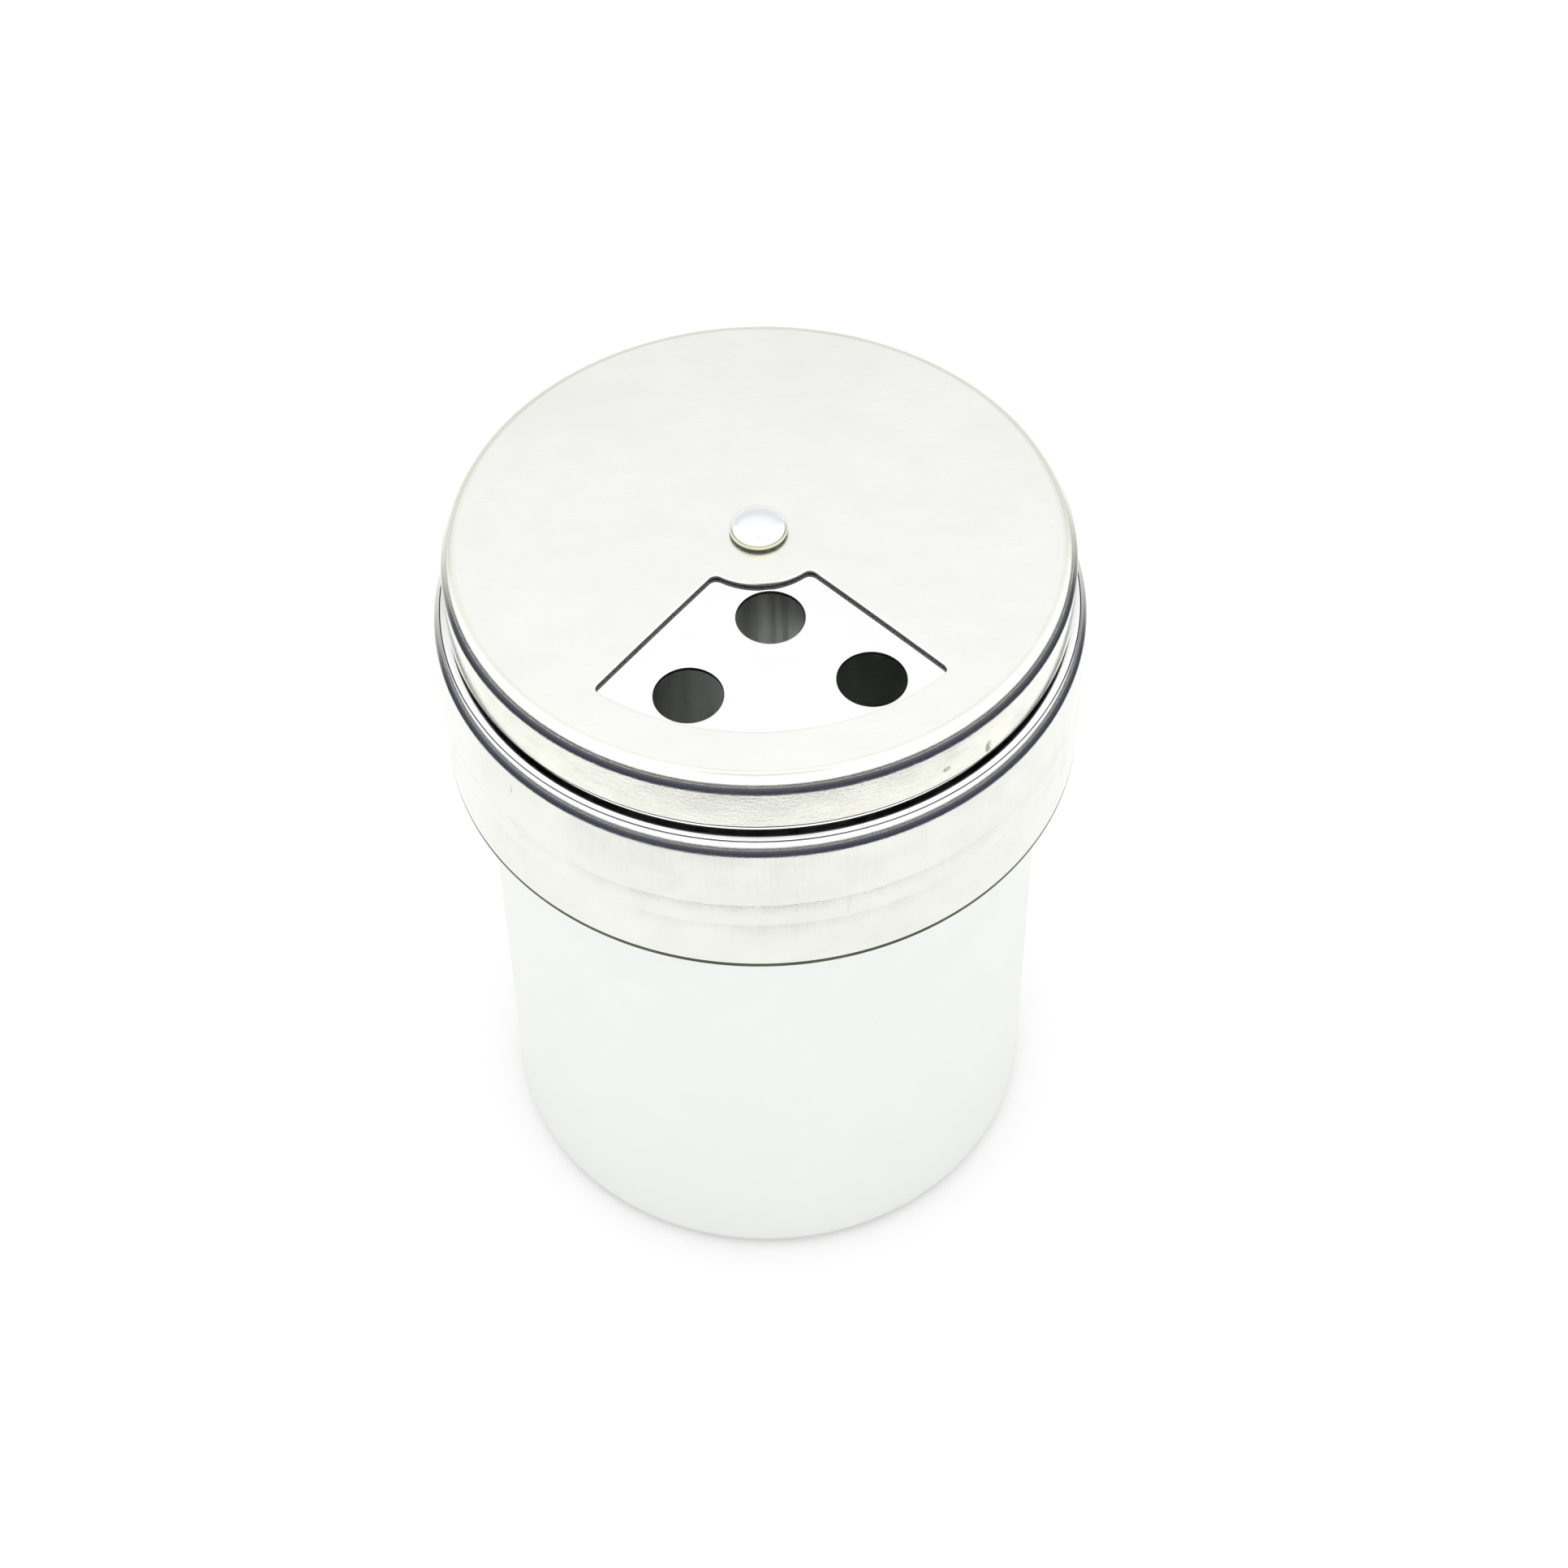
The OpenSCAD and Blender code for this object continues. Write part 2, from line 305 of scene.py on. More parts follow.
def sector_window(offset):
    """The dial's window, as its outline grown by an offset. It is centred on -Y."""
    r_in, r_out, rc = WINDOW_IN, WINDOW_OUT, WINDOW_CORNER
    inset_in = math.asin(rc / (r_in + rc))
    inset_out = math.asin(rc / (r_out - rc))
    middle = -math.pi / 2
    points = []

    def corner(rho, angle, start, end, steps=8):
        cx, cy = rho * math.cos(angle), rho * math.sin(angle)
        for i in range(steps + 1):
            a = start + (end - start) * i / steps
            points.append((cx + (rc + offset) * math.cos(a), cy + (rc + offset) * math.sin(a)))

    low, high = middle - WINDOW_HALF, middle + WINDOW_HALF
    corner(r_out - rc, low + inset_out, low - math.pi / 2, low + inset_out)
    for i in range(1, 48):
        a = low + inset_out + (high - low - 2 * inset_out) * i / 48
        points.append(((r_out + offset) * math.cos(a), (r_out + offset) * math.sin(a)))
    corner(r_out - rc, high - inset_out, high - inset_out, high + math.pi / 2)
    out_end = Vector(points[-1])
    start_in = high - inset_in
    side = high + math.pi / 2
    first = Vector(((r_in + rc) * math.cos(start_in) + (rc + offset) * math.cos(side),
                    (r_in + rc) * math.sin(start_in) + (rc + offset) * math.sin(side)))
    for i in range(1, 24):
        p = out_end.lerp(first, i / 24)
        points.append((p.x, p.y))
    corner(r_in + rc, start_in, high + math.pi / 2, start_in + math.pi)
    for i in range(1, 16):
        a = high - inset_in - (high - low - 2 * inset_in) * i / 16
        points.append(((r_in - offset) * math.cos(a), (r_in - offset) * math.sin(a)))
    start_in = low + inset_in
    corner(r_in + rc, start_in, start_in + math.pi, low + 1.5 * math.pi)
    last_in = Vector(points[-1])
    back = Vector(points[0])
    for i in range(1, 24):
        p = last_in.lerp(back, i / 24)
        points.append((p.x, p.y))
    return points


def inside(point, outline):
    x, y = point
    hit = False
    for (x1, y1), (x2, y2) in zip(outline, outline[1:] + outline[:1]):
        if (y1 > y) != (y2 > y) and x < x1 + (x2 - x1) * (y - y1) / (y2 - y1):
            hit = not hit
    return hit


def pierced_sheet(bm, rim_r, openings, top, spacing=1.1 * MM):
    """A crowned disc with openings. Gives the rings of vertices round its upper and lower rims."""
    support = BURR + 0.12 * MM
    keep_off = 0.45 * MM
    rim = [(rim_r * math.cos(ring_angle(i)), rim_r * math.sin(ring_angle(i)))
           for i in range(TURNS_ROUND)]
    rim_support = [(x * (1 - 0.1 * MM / rim_r), y * (1 - 0.1 * MM / rim_r)) for x, y in rim]
    loops = [rim, rim_support]
    for opening in openings:
        loops += [opening(BURR), opening(support)]
    coords, edges = [], []
    for loop in loops:
        start = len(coords)
        coords += loop
        edges += [(start + i, start + (i + 1) % len(loop)) for i in range(len(loop))]
    borders = [(opening(support), opening(keep_off)) for opening in openings]
    rho = spacing
    while rho < rim_r - 0.6 * MM:
        count = math.ceil(2 * math.pi * rho / spacing)
        for i in range(count):
            a = 2 * math.pi * (i + 0.5 * (round(rho / spacing) % 2)) / count
            p = (rho * math.cos(a), rho * math.sin(a))
            if not any(inside(p, grown) for _, grown in borders):
                coords.append(p)
        rho += spacing
    scaled = [Vector((x / MM, y / MM)) for x, y in coords]
    verts, _, faces, origins, _, _ = delaunay_2d_cdt(scaled, edges, [], 0, 1e-6, True)
    place = {}
    for new, olds in enumerate(origins):
        for old in olds:
            place[old] = new
    cuts = [opening(BURR) for opening in openings]
    sheets = []
    for drop in (0.0, SHEET):
        sheets.append([bm.verts.new((v.x * MM, v.y * MM, top(v.length * MM) - drop))
                       for v in verts])
    for face in faces:
        middle = sum((verts[i] for i in face), Vector((0, 0))) / len(face)
        if any(inside((middle.x * MM, middle.y * MM), cut) for cut in cuts):
            continue
        bm.faces.new([sheets[0][i] for i in face])
        bm.faces.new([sheets[1][i] for i in reversed(face)])
    start = 2 * TURNS_ROUND
    for opening in openings:
        count = len(opening(0))
        upper = [sheets[0][place[start + i]] for i in range(count)]
        lower = [sheets[1][place[start + i]] for i in range(count)]
        previous = upper
        # Slot 2, on the lower part of each opening's wall, is the dark edge steel, which is partly
        # painted shade.
        for offset, down, slot in ((0.29, 0.29 * BURR, 0), (0.0, BURR, 0), (0.0, 2.5 * BURR, 0),
                                   (0.0, SHEET - BURR, 2), (0.29, SHEET - 0.29 * BURR, 2)):
            previous = edge_ring(bm, opening(BURR * offset), top, down, previous, slot)
        bridge(bm, previous, lower, 2)
        start += 2 * count
    loose = [v for v in bm.verts if not v.link_faces]
    keep = {sheets[s][place[i]] for s in (0, 1) for i in range(TURNS_ROUND)}
    bmesh.ops.delete(bm, geom=[v for v in loose if v not in keep], context="VERTS")
    return [[sheets[s][place[i]] for i in range(TURNS_ROUND)] for s in (0, 1)]


def edge_ring(bm, outline, top, down, previous, slot):
    ring = [bm.verts.new((x, y, top(math.hypot(x, y)) - down)) for x, y in outline]
    bridge(bm, previous, ring, slot)
    return ring


def drawn_cap(name, rim_r, openings, top, outline, materials):
    """A pierced disc whose rim runs on into a turned outline, from its upper to its lower rim."""
    bm = bmesh.new()
    upper, lower = pierced_sheet(bm, rim_r, openings, top)
    previous, place = upper, outline[0]
    for point in outline:
        ring = add_ring(bm, *point)
        # The seam's groove and the skirt's lip take slot 2, the dark edge steel: painted shade in
        # the seam, and partly painted shade on the lip.
        cut = in_seam(place, point) or on_lip(place, point)
        bridge(bm, previous, ring, 2 if cut else 1)
        previous, place = ring, point
    bridge(bm, previous, lower, 1)
    return finish_mesh(name, bm, materials)


def on_lip(a, b):
    """Whether a stretch of outline lies on the cut lip of the dial's skirt."""
    middle = (a[1] + b[1]) / 2
    low, high = DIAL_LO.z - 1e-7, DIAL_LO.z + 0.7 * SHEET
    return DIAL_R - 1.1 * SHEET < min(a[0], b[0]) and low < middle < high


def in_seam(a, b):
    """Whether the middle of a stretch of outline lies in the groove of the shoulder's lap seam."""
    r = (a[0] + b[0]) / 2 - SHOULDER[0]
    z = (a[1] + b[1]) / 2 - SHOULDER[1]
    depth = SHOULDER_ROLL - math.hypot(r, z)
    near = abs(math.degrees(math.atan2(z, r)) - SEAM_ANGLE) < SEAM_HALF
    return near and TOUCH < depth < SHEET


# ---------------------------------------------------------------- materials

def node(tree, kind, **values):
    made = tree.nodes.new(kind)
    for key, value in values.items():
        setattr(made, key, value)
    return made


def noise(tree, coords, stretch, scale, detail, roughness=0.55):
    mapping = node(tree, "ShaderNodeMapping")
    mapping.inputs["Scale"].default_value = stretch
    tree.links.new(coords, mapping.inputs["Vector"])
    tex = node(tree, "ShaderNodeTexNoise")
    tex.inputs["Scale"].default_value = scale
    tex.inputs["Detail"].default_value = detail
    tex.inputs["Roughness"].default_value = roughness
    tree.links.new(mapping.outputs["Vector"], tex.inputs["Vector"])
    return tex.outputs["Fac"]


def remap(tree, value, low, high, to_low, to_high):
    made = node(tree, "ShaderNodeMapRange")
    limits = {"From Min": low, "From Max": high, "To Min": to_low, "To Max": to_high}
    for key, number in limits.items():
        made.inputs[key].default_value = number
    tree.links.new(value, made.inputs["Value"])
    return made.outputs["Result"]


def calc(tree, a, b, operation="ADD"):
    made = node(tree, "ShaderNodeMath", operation=operation)
    for socket, value in zip(made.inputs, (a, b)):
        if isinstance(value, (int, float)):
            socket.default_value = value
        else:
            tree.links.new(value, socket)
    return made.outputs[0]


def mix(tree, factor, a, b):
    made = node(tree, "ShaderNodeMix", data_type="RGBA")
    tree.links.new(factor, made.inputs[0])
    for socket, value in ((made.inputs[6], a), (made.inputs[7], b)):
        if isinstance(value, tuple):
            socket.default_value = (*value, 1)
        else:
            tree.links.new(value, socket)
    return made.outputs[2]


def spot(tree, coords, ragged, centre, reach):
    """A mask that is 1 near a place and 0 away from it, with a ragged edge."""
    away = node(tree, "ShaderNodeVectorMath", operation="SUBTRACT")
    tree.links.new(coords, away.inputs[0])
    away.inputs[1].default_value = centre
    shrunk = node(tree, "ShaderNodeVectorMath", operation="DIVIDE")
    tree.links.new(away.outputs[0], shrunk.inputs[0])
    shrunk.inputs[1].default_value = reach
    length = node(tree, "ShaderNodeVectorMath", operation="LENGTH")
    tree.links.new(shrunk.outputs[0], length.inputs[0])
    rough_edge = calc(tree, length.outputs["Value"], remap(tree, ragged, 0.3, 0.7, -0.35, 0.35))
    return remap(tree, rough_edge, 0.55, 1.0, 1.0, 0.0)


def steel(name, light, dark, rough, grain, grain_depth=0.5, cloud=0.05, speck=0.3, streak=0.05,
          pitted=0.2, speck_size=7000.0, spots=()):
    """Brushed sheet steel. grain is the noise's stretch along X, Y and Z, high across the brushing.

    cloud and streak vary the roughness. speck is the height of the fine grit, speck_size its scale
    (higher is finer), and pitted the depth of the small dents. Each spot is a worn or stained
    place: its centre and its reach along X, Y and Z, in metres, and how strong it is.
    """
    material = bpy.data.materials.new(name)
    material.use_nodes = True
    tree = material.node_tree
    shader = tree.nodes["Principled BSDF"]
    coords = node(tree, "ShaderNodeTexCoord").outputs["Object"]
    brushing = noise(tree, coords, grain, 1.0, 4, 0.7)
    clouds = noise(tree, coords, (1, 1, 1), 85.0, 5, 0.6)
    smudges = noise(tree, coords, (1.0, 1.6, 1.3), 260.0, 3, 0.5)
    specks = noise(tree, coords, (1, 1, 1), speck_size, 3, 0.6)
    pits = noise(tree, coords, (1, 1, 1), 1500.0, 2, 0.5)

    tone = calc(tree, calc(tree, clouds, 0.6, "MULTIPLY"), calc(tree, smudges, 0.4, "MULTIPLY"))
    colour = mix(tree, remap(tree, tone, 0.35, 0.62, 0.0, 1.0), dark, light)
    worn = None
    for (centre, reach), strength in spots:
        mask = calc(tree, spot(tree, coords, smudges, centre, reach), strength, "MULTIPLY")
        worn = mask if worn is None else calc(tree, worn, mask, "MAXIMUM")
    height = calc(tree, calc(tree, brushing, grain_depth, "MULTIPLY"),
                  calc(tree, specks, speck, "MULTIPLY"))
    if worn is not None:
        broken = calc(tree, worn, remap(tree, specks, 0.35, 0.6, 0.2, 1.0), "MULTIPLY")
        colour = mix(tree, broken, colour, tuple(0.22 * c for c in dark))
        height = calc(tree, height, calc(tree, broken, -0.8, "MULTIPLY"))
    tree.links.new(colour, shader.inputs["Base Color"])

    even = remap(tree, tone, 0.3, 0.7, rough + cloud, rough - cloud)
    streaks = remap(tree, brushing, 0.3, 0.7, -streak, streak)
    tree.links.new(calc(tree, even, streaks), shader.inputs["Roughness"])

    dents = remap(tree, pits, 0.72, 0.78, 0.0, -pitted)
    bump = node(tree, "ShaderNodeBump")
    bump.inputs["Strength"].default_value = 0.35
    bump.inputs["Distance"].default_value = 0.00001
    tree.links.new(calc(tree, height, dents), bump.inputs["Height"])
    tree.links.new(bump.outputs["Normal"], shader.inputs["Normal"])
    shader.inputs["Metallic"].default_value = 1.0
    return material


def dull_edge_and_shade(name):
    """Dull steel for the cut walls of the openings and the skirt's lip, painted near black. It is
    partly the dullness of a sheared edge and partly painted shade in those narrow walls and gaps.
    Under the rivet's head it is painted shadow.
    """
    return steel(name, (0.13, 0.12, 0.13), (0.07, 0.065, 0.075), 0.5, (900, 900, 900))


# ---------------------------------------------------------------- pieces

def make_dial():
    top_steel = steel("dial_top_steel", (0.94, 0.945, 0.905), (0.895, 0.90, 0.862), 0.30,
                      (260, 5200, 2600), grain_depth=0.4)
    side_steel = steel("dial_side_steel", (0.90, 0.905, 0.825), (0.845, 0.85, 0.77), 0.13,
                       (420, 420, 5200), speck=2.6, speck_size=3600.0,
                       spots=[(on_wall(DIAL_R, -59.5, 77.1, 0.5, 0.35), 1.0),
                              (on_wall(DIAL_R, -49.9, 76.6, 0.45, 0.9), 0.9)])
    roll = (DIAL_R - DIAL_ROLL, DIAL_RIM_Z - DIAL_ROLL)
    edge = (DIAL_R - SHEET / 2, DIAL_LO.z + SHEET / 2)
    outline = path(
        rolled(roll, DIAL_ROLL, 82, 0, 20),
        arc(edge, SHEET / 2, 0, -180, 8),
        rolled(roll, DIAL_ROLL - SHEET, 0, 82, 10))
    openings = [sector_window, round_hole(0, 0, PIN_HOLE_R, 48)]
    piece = drawn_cap("turning_dial", CROWN_R, openings, lambda r: DIAL_RIM_Z + crown(r),
                      outline, [top_steel, side_steel, dull_edge_and_shade("window_edge_and_shade")])
    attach(piece, "dial_body")
    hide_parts("dial")


def plate_openings():
    """The rivet's hole and the four quarters of the pattern: large, medium, fine and none."""
    found = [round_hole(0, 0, PIN_HOLE_R, 48)]

    def hole(r, rho, degrees, count):
        a = math.radians(degrees + PATTERN_TURN - 90)
        found.append(round_hole(rho * math.cos(a), rho * math.sin(a), r, count))

    def rows(r, count, first, spread, middle, steps):
        for row in range(count):
            rho = ROW_IN + (ROW_OUT - ROW_IN) * row / (count - 1)
            last = first + row - 1
            for i in range(last + 1):
                hole(r, rho, middle + spread * (i / last - 0.5), steps)

    hole(LARGE_R, LARGE_IN, 0, 72)
    hole(LARGE_R, LARGE_OUT, -LARGE_TURN, 72)
    hole(LARGE_R, LARGE_OUT, LARGE_TURN, 72)
    rows(MEDIUM_R, 3, 2, 50, 90, 40)
    rows(FINE_R, 4, 3, 56, -90, 28)
    return found


def make_plate():
    smooth = steel("plate_top_steel", (0.985, 0.985, 0.985), (0.965, 0.965, 0.965), 0.12,
                   (500, 4200, 2600), grain_depth=0.15, cloud=0.03, speck=0.08, streak=0.02)
    side = steel("plate_side_steel", (0.93, 0.935, 0.92), (0.88, 0.885, 0.87), 0.14,
                 (420, 420, 5200), speck=0.5)
    top_z = DIAL_RIM_Z - PLATE_DROP
    corner = (PLATFORM_R - PLATFORM_ROLL, top_z - PLATFORM_ROLL)
    fillet = (PLATFORM_R + LEDGE_FILLET, LEDGE_Z + LEDGE_FILLET)
    outline = path(
        arc(corner, PLATFORM_ROLL, 82, 0, 10),
        arc(fillet, LEDGE_FILLET, 180, 270, 6),
        arc(SHOULDER, SHOULDER_ROLL, 90, SEAM_ANGLE + 3, 8),
        arc(SHOULDER, SHOULDER_ROLL - SEAM_DEPTH, SEAM_ANGLE + 2, SEAM_ANGLE, 1),
        arc(SHOULDER, SHOULDER_ROLL - SHEET - TOUCH, SEAM_ANGLE, LAP_LOW, 6),
        arc(SHOULDER, SHOULDER_ROLL - 2 * SHEET, LAP_LOW, LAP_HIGH, 6),
        arc(SHOULDER, SHOULDER_ROLL - SHEET, LAP_HIGH, 90, 4),
        arc(fillet, LEDGE_FILLET + SHEET, 270, 180, 6),
        arc(corner, PLATFORM_ROLL - SHEET, 0, 82, 6))
    piece = drawn_cap("perforated_plate", corner[0], plate_openings(),
                      lambda r: top_z + crown(r), outline,
                      [smooth, side, dull_edge_and_shade("hole_edge_and_shade")])
    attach(piece, "lid_body")
    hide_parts("shaker_plate")


def wall_mark(angle, z):
    """The faint trace that the rolled thread leaves on the outside of the collar."""
    best = 0.0
    turn = (angle - RIDGE_START) / (2 * math.pi)
    for k in range(-2, 3):
        t = turn + k
        if -0.05 <= t <= THREAD_TURNS + 0.05:
            below = (RIDGE_Z + LEAD * t + MARK_RISE - z) / MARK_LENGTH
            if -0.03 < below < 1:
                rise = min(1.0, (below + 0.03) / 0.05)
                ends = min(1.0, max(0.0, min(t + 0.05, THREAD_TURNS + 0.05 - t) / 0.1))
                best = max(best, rise * (1 - below) ** 1.5 * ends)
    return best


def make_collar():
    metal = steel("collar_steel", (0.83, 0.84, 0.785), (0.79, 0.80, 0.745), 0.16,
                  (3600, 3600, 120), grain_depth=0.35, speck=2.6, speck_size=3600.0, streak=0.03,
                  spots=[(on_wall(COLLAR_R, -141.0, 70.5, 0.12, 0.8), 0.8),
                         (on_wall(COLLAR_R, -78.8, 64.4, 0.25, 1.4), 0.12)])
    # Painted shade: a dark olive band along the bottom of the hem.
    hem_shade_steel = steel("hem_painted_shade", (0.10, 0.12, 0.075), (0.06, 0.07, 0.045), 0.35,
                       (3600, 3600, 120), speck=0.6)
    # Painted shade: dark lilac steel in the lap seam's groove, where the gap falls in shadow.
    seam_shade_steel = steel("seam_shade_steel", (0.34, 0.32, 0.42), (0.26, 0.24, 0.34), 0.35,
                       (900, 900, 900))
    hem = (COLLAR_R - HEM_T / 2, COLLAR_LO.z + HEM_T / 2)
    inner_r = COLLAR_R - SHEET
    hem_top = COLLAR_LO.z + HEM_H
    top = SHOULDER[1] - ROLL_EASE
    wall = [(COLLAR_R, hem[1] + (top - hem[1]) * i / WALL_STEPS) for i in range(WALL_STEPS + 1)]
    back = [(inner_r, top + (hem_top + 0.1 * MM - top) * i / INNER_STEPS)
            for i in range(INNER_STEPS + 1)]
    outline = path(
        arc(hem, HEM_T / 2, -180, 0, 12),
        wall,
        rolled(SHOULDER, SHOULDER_ROLL, 0, SEAM_ANGLE - 2.5, 16),
        arc(SHOULDER, SHOULDER_ROLL - SEAM_DEPTH, SEAM_ANGLE - 1.5, SEAM_ANGLE, 1),
        rolled(SHOULDER, SHOULDER_ROLL - SHEET, SEAM_ANGLE, 0, 10),
        back,
        [(inner_r, hem_top), (COLLAR_R - HEM_T, hem_top - 0.15 * MM)])
    low, high = hem[1] + 0.3 * MM, top - 0.3 * MM

    def outer_mark(angle, z):
        return -MARK_DEPTH * wall_mark(angle, z)

    def inner_ridge(angle, z):
        return -RIDGE_H * thread_height(angle, z, RIDGE_Z)

    def displace(k):
        r, z = outline[k]
        if abs(r - COLLAR_R) < 1e-7 and low < z < high:
            return outer_mark
        if abs(r - inner_r) < 1e-7 and hem_top + 0.2 * MM < z < high:
            return inner_ridge
        return None

    def slots(k):
        # Slot 2 is the painted shade in the seam's groove.
        if in_seam(outline[k], outline[(k + 1) % len(outline)]):
            return 2
        r, z = outline[k]
        # Slot 1 is the painted shade along the bottom of the hem.
        return 1 if r > hem[0] and z < COLLAR_LO.z + HEM_LINE else 0

    piece = lathe("threaded_collar", outline, [metal, hem_shade_steel, seam_shade_steel], displace=displace,
                  slots=slots)
    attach(piece, "lid_body")
    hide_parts("screw_collar")


def make_jar():
    outside = steel("jar_steel", (0.855, 0.867, 0.84), (0.84, 0.852, 0.825), 0.26,
                    (120, 120, 5200), grain_depth=0.06, cloud=0.01, speck=0.1, streak=0.01,
                    pitted=0.0)
    inside_steel = steel("jar_inner_steel", (0.88, 0.90, 0.87), (0.84, 0.86, 0.83), 0.42,
                         (420, 420, 12), grain_depth=0.3, speck=0.1, streak=0.12, pitted=0.0)
    corner = (BODY_R - BASE_ROLL, BASE_ROLL)
    foot_r = BODY_R - BASE_ROLL - FOOT_W
    panel_r = foot_r - BASE_RECESS
    neck_z = JAR_HI.z - NECK_H
    rim = (NECK_R - CURL_R, JAR_HI.z - CURL_R)
    bead_z = RIDGE_Z + LEAD / 2

    def flare(inset):
        points = []
        for i in range(17):
            t = i / 16
            r = BODY_R - inset + (NECK_R - BODY_R) * (1 - math.cos(math.pi * t)) / 2
            points.append((r, neck_z - FLARE_H * (1 - t)))
        return points

    def neck(r):
        rise = rim[1] - neck_z
        return [(r, neck_z + rise * i / INNER_STEPS) for i in range(INNER_STEPS + 1)]

    curl_end = 235
    outer = path([(0, BASE_RECESS), (panel_r, BASE_RECESS)],
                 [(foot_r - 0.05 * MM, 0.02 * MM), (foot_r, 0)],
                 arc(corner, BASE_ROLL, -90, 0, 14), flare(0), neck(NECK_R),
                 arc(rim, CURL_R, 0, curl_end, 24))
    inner = path(arc(rim, CURL_R - SHEET, curl_end, 0, 16), neck(NECK_R - SHEET)[::-1],
                 flare(SHEET)[::-1], arc(corner, BASE_ROLL - SHEET, 0, -90, 8),
                 [(foot_r, SHEET), (foot_r - 0.05 * MM, SHEET + 0.02 * MM)],
                 [(panel_r, BASE_RECESS + SHEET), (0, BASE_RECESS + SHEET)])
    outline = outer + inner
    turn_in = len(outer)

    def bead(angle, z):
        return BEAD_H * thread_height(angle, z, bead_z)

    def displace(k):
        r, z = outline[k]
        on_neck = neck_z < z < rim[1] - 0.1 * MM and r > NECK_R - SHEET - 1e-7
        return bead if on_neck else None

    piece = lathe("drawn_jar", outline, [outside, inside_steel], closed=False, displace=displace,
                  slots=lambda k: 1 if k >= turn_in - 1 else 0)
    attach(piece, "jar_body")
    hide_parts("jar")


def make_rivet():
    metal = steel("rivet_steel", (0.975, 0.98, 0.99), (0.94, 0.95, 0.965), 0.16,
                  (900, 900, 900), grain_depth=0.1, cloud=0.03, speck=0.2)
    # Painted highlight: a yellowish bright band round the head's edge.
    rim_highlight_steel = steel("rivet_rim_painted_highlight", (0.90, 0.93, 0.66), (0.80, 0.83, 0.56), 0.6,
                      (900, 900, 900))
    # Painted shadow: the lowest band of the head's edge is dark where the gap under the head falls
    # in shade.
    under_shadow_steel = dull_edge_and_shade("rivet_under_painted_shadow")
    head_r = RIVET_HI.x
    head_z = DIAL_HI.z + HEAD_GAP
    edge_z = head_z + HEAD_EDGE_H
    tail_z = RIVET_LO.z
    rise = RIVET_HI.z - edge_z
    dome = [(head_r * math.cos(a), edge_z + rise * math.sin(a))
            for a in (math.radians(90 * i / 18) for i in range(19))]
    outline = path(
        [(0, tail_z + TAIL_CUP_H), (TAIL_CUP_R, tail_z + TAIL_CUP_H)],
        [(PIN_R, tail_z + 0.02 * MM), (2.1 * MM, tail_z)],
        arc((TAIL_R - TAIL_ROLL, tail_z + TAIL_ROLL), TAIL_ROLL, -90, 0, 5),
        [(TAIL_R, WASHER_LO.z), (PIN_R, WASHER_LO.z), (PIN_R, head_z)],
        [(head_r - 0.1 * MM, head_z), (head_r, head_z + 0.08 * MM)],
        [(head_r, head_z + HEAD_UNDER_H), (head_r, edge_z)],
        dome[1:-1],
        [(0.0, RIVET_HI.z)])

    def slots(k):
        (r, z), (r2, z2) = outline[k], outline[(k + 1) % len(outline)]
        if min(r, r2) < head_r - 0.15 * MM or z2 < head_z:
            return 0
        # Slot 2 is the painted shadow of the gap under the head.
        if (z + z2) / 2 < head_z + HEAD_UNDER_H:
            return 2
        # Slot 1 is the painted yellowish highlight round the head's edge.
        return 1 if z2 < edge_z + 0.2 * MM else 0

    piece = lathe("centre_rivet", outline, [metal, rim_highlight_steel, under_shadow_steel], closed=False,
                  slots=slots)
    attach(piece, "rivet_body")
    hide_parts("rivet")


def make_washer():
    metal = steel("washer_steel", (0.82, 0.83, 0.82), (0.76, 0.77, 0.76), 0.28,
                  (700, 2600, 2600))
    outer_r = WASHER_HI.x
    bevel = 0.1 * MM
    low, high = WASHER_LO.z, WASHER_HI.z
    outline = path([(PIN_HOLE_R, low + bevel), (PIN_HOLE_R + bevel, low)],
                   [(outer_r - bevel, low), (outer_r, low + bevel)],
                   [(outer_r, high - bevel), (outer_r - bevel, high)],
                   [(PIN_HOLE_R + bevel, high), (PIN_HOLE_R, high - bevel)])
    piece = lathe("backing_washer", outline, [metal])
    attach(piece, "rivet_body")
    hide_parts("rivet_washer")


# ---------------------------------------------------------------- camera, floor and light

def make_camera():
    data = bpy.data.cameras.new("view")
    data.lens = LENS
    data.sensor_width = SENSOR
    data.clip_start, data.clip_end = 0.01, 10.0
    camera = bpy.data.objects.new("view", data)
    bpy.context.scene.collection.objects.link(camera)
    camera.location = CAMERA_PLACE
    heading = Matrix.Rotation(CAMERA_HEADING, 3, "Z")
    tilt = Matrix.Rotation(math.pi / 2 - CAMERA_PITCH, 3, "X")
    level = Matrix.Rotation(CAMERA_ROLL, 3, "Z")
    camera.rotation_euler = (heading @ tilt @ level).to_euler()
    bpy.context.scene.camera = camera


def make_floor():
    material = bpy.data.materials.new("white_floor")
    material.use_nodes = True
    shader = material.node_tree.nodes["Principled BSDF"]
    shader.inputs["Base Color"].default_value = (0.955, 0.955, 0.955, 1)
    shader.inputs["Roughness"].default_value = 0.9
    shader.inputs["Specular IOR Level"].default_value = 0.1
    bm = bmesh.new()
    bmesh.ops.create_circle(bm, cap_ends=True, radius=4.0, segments=96)
    mesh = bpy.data.meshes.new("floor")
    bm.to_mesh(mesh)
    bm.free()
    mesh.materials.append(material)
    floor = bpy.data.objects.new("floor", mesh)
    floor.location.z = -0.00002
    bpy.context.scene.collection.objects.link(floor)


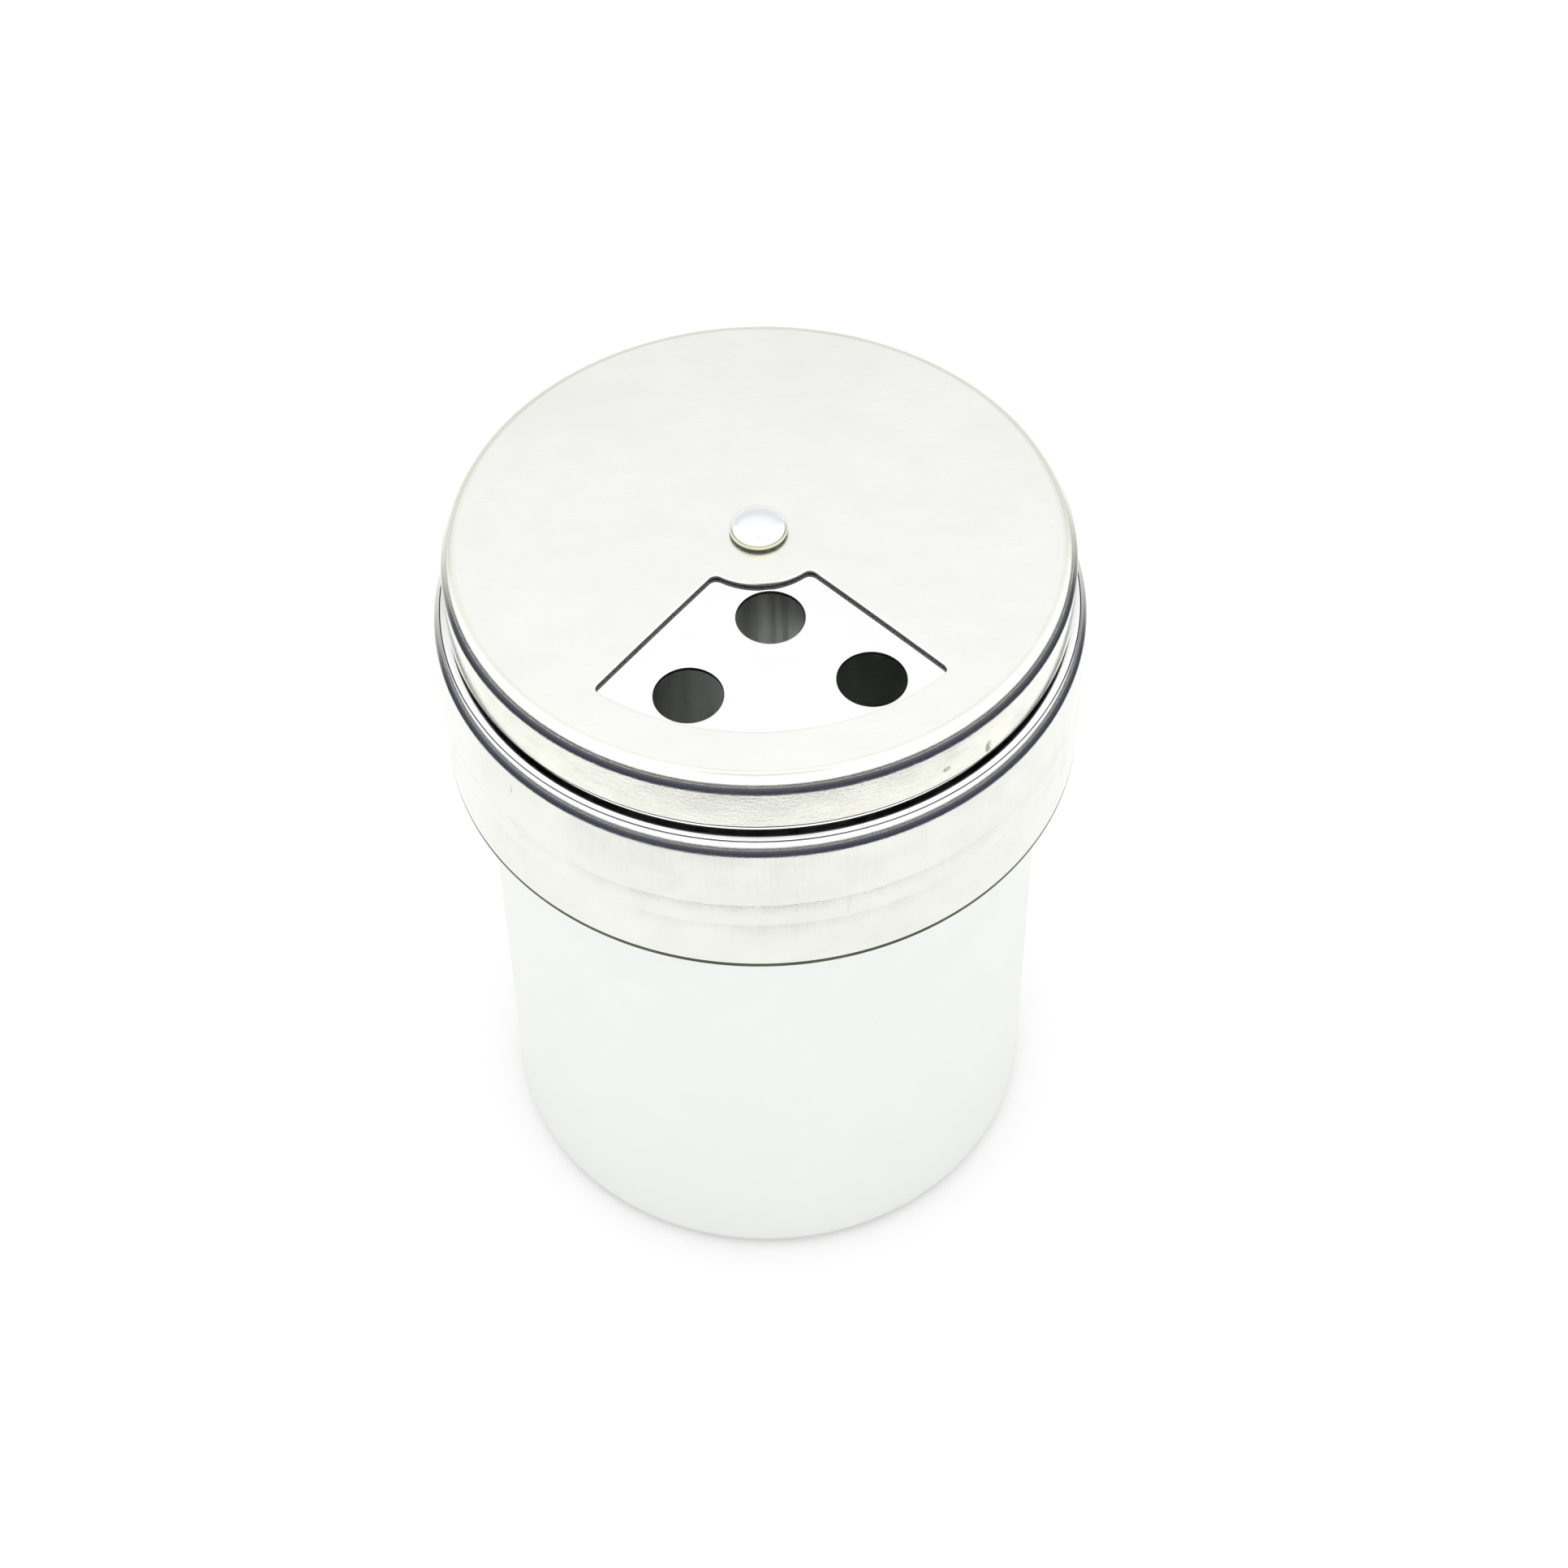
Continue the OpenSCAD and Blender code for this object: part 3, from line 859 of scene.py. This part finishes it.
def facing_mask(tree, coords):
    """1 on every side but the back, where it fades to 0. Also gives the Z of the coordinates."""
    split = node(tree, "ShaderNodeSeparateXYZ")
    tree.links.new(coords, split.inputs[0])
    x, y = split.outputs["X"], split.outputs["Y"]
    square = calc(tree, calc(tree, x, x, "MULTIPLY"), calc(tree, y, y, "MULTIPLY"))
    share = calc(tree, y, calc(tree, calc(tree, square, 0.000001), 0.5, "POWER"), "DIVIDE")
    return remap(tree, share, BACK_FROM, BACK_TO, 1.0, 0.0), split.outputs["Z"]


def make_card():
    """A dark card round the foot of the jar, which only the steel sees, as in a light tent."""
    bm = bmesh.new()
    bmesh.ops.create_circle(bm, radius=CARD_OUT_R, segments=128)
    inner = bmesh.ops.create_circle(bm, radius=CARD_IN_R, segments=128)["verts"]
    bmesh.ops.bridge_loops(bm, edges=bm.edges[:])
    mesh = bpy.data.meshes.new("card")
    bm.to_mesh(mesh)
    bm.free()
    material = bpy.data.materials.new("card_dark")
    material.use_nodes = True
    tree = material.node_tree
    tree.nodes.clear()
    out = node(tree, "ShaderNodeOutputMaterial")
    shader = node(tree, "ShaderNodeEmission")
    coords = node(tree, "ShaderNodeTexCoord").outputs["Object"]
    facing, _ = facing_mask(tree, coords)
    away = node(tree, "ShaderNodeVectorMath", operation="LENGTH")
    tree.links.new(coords, away.inputs[0])
    far = remap(tree, away.outputs["Value"], 0.13, 0.40, 0.0, 1.0)
    colour = mix(tree, far, (0.055, 0.055, 0.092), (0.15, 0.15, 0.175))
    tree.links.new(colour, shader.inputs["Color"])
    clear = node(tree, "ShaderNodeBsdfTransparent")
    blend = node(tree, "ShaderNodeMixShader")
    tree.links.new(facing, blend.inputs[0])
    tree.links.new(clear.outputs[0], blend.inputs[1])
    tree.links.new(shader.outputs[0], blend.inputs[2])
    tree.links.new(blend.outputs[0], out.inputs["Surface"])
    mesh.materials.append(material)
    card = bpy.data.objects.new("card", mesh)
    card.location.z = 0.0006
    bpy.context.scene.collection.objects.link(card)
    card.visible_camera = False
    card.visible_diffuse = False
    card.visible_shadow = False
    card.visible_transmission = False


def make_world():
    """A light tent. The steel sees it bright all round but dark low down, greyer at the back and
    straight above. Everything else, the camera included, sees plain white."""
    world = bpy.data.worlds.new("tent")
    bpy.context.scene.world = world
    world.use_nodes = True
    tree = world.node_tree
    tree.nodes.clear()
    out = node(tree, "ShaderNodeOutputWorld")
    coords = node(tree, "ShaderNodeTexCoord").outputs["Generated"]
    facing, up = facing_mask(tree, coords)

    height = node(tree, "ShaderNodeValToRGB")
    stops = height.color_ramp
    stops.elements[0].position, stops.elements[0].color = 0.0, (0.60, 0.60, 0.60, 1)
    stops.elements[1].position, stops.elements[1].color = 1.0, (1.0, 1.0, 1.0, 1)
    for place, shade in ((0.50, 0.50), (0.60, 0.60), (0.707, 0.645), (0.766, 0.66), (0.83, 0.66),
                         (0.91, 0.70), (0.96, 0.90)):
        stop = stops.elements.new(place)
        stop.color = (shade, shade, shade, 1)
    tree.links.new(up, height.inputs[0])
    low = remap(tree, up, 0.15, 0.40, 1.0, 0.0)
    front = mix(tree, low, (0.95, 0.95, 0.96), (0.105, 0.105, 0.12))
    sky = mix(tree, facing, height.outputs["Color"], front)
    zenith = remap(tree, up, 0.966, 0.99, 0.0, 1.0)
    sky = mix(tree, zenith, sky, (0.61, 0.61, 0.61))

    tent = node(tree, "ShaderNodeBackground")
    tree.links.new(sky, tent.inputs["Color"])
    tent.inputs["Strength"].default_value = 1.55
    plain = node(tree, "ShaderNodeBackground")
    plain.inputs["Color"].default_value = (1.0, 1.0, 1.0, 1)
    plain.inputs["Strength"].default_value = 1.23
    path_kind = node(tree, "ShaderNodeLightPath")
    steel_sees = node(tree, "ShaderNodeMixShader")
    tree.links.new(path_kind.outputs["Is Glossy Ray"], steel_sees.inputs[0])
    tree.links.new(plain.outputs[0], steel_sees.inputs[1])
    tree.links.new(tent.outputs[0], steel_sees.inputs[2])
    tree.links.new(steel_sees.outputs[0], out.inputs["Surface"])
    bpy.context.scene.view_settings.view_transform = "Standard"


def make_inner_light():
    """The light that falls in through the holes, on the back of the jar's inside."""
    data = bpy.data.lights.new("through_holes", "SPOT")
    data.energy = 0.0017
    data.spot_size = math.radians(34)
    data.spot_blend = 0.8
    data.shadow_soft_size = 0.003
    lamp = bpy.data.objects.new("through_holes", data)
    lamp.location = (-0.006, 0.0, 0.004)
    lamp.rotation_euler = Vector((3, 29, 26)).to_track_quat("-Z", "Y").to_euler()
    bpy.context.scene.collection.objects.link(lamp)


make_camera()
make_world()
make_inner_light()
make_floor()
make_card()
make_jar()
make_collar()
make_plate()
make_dial()
make_rivet()
make_washer()
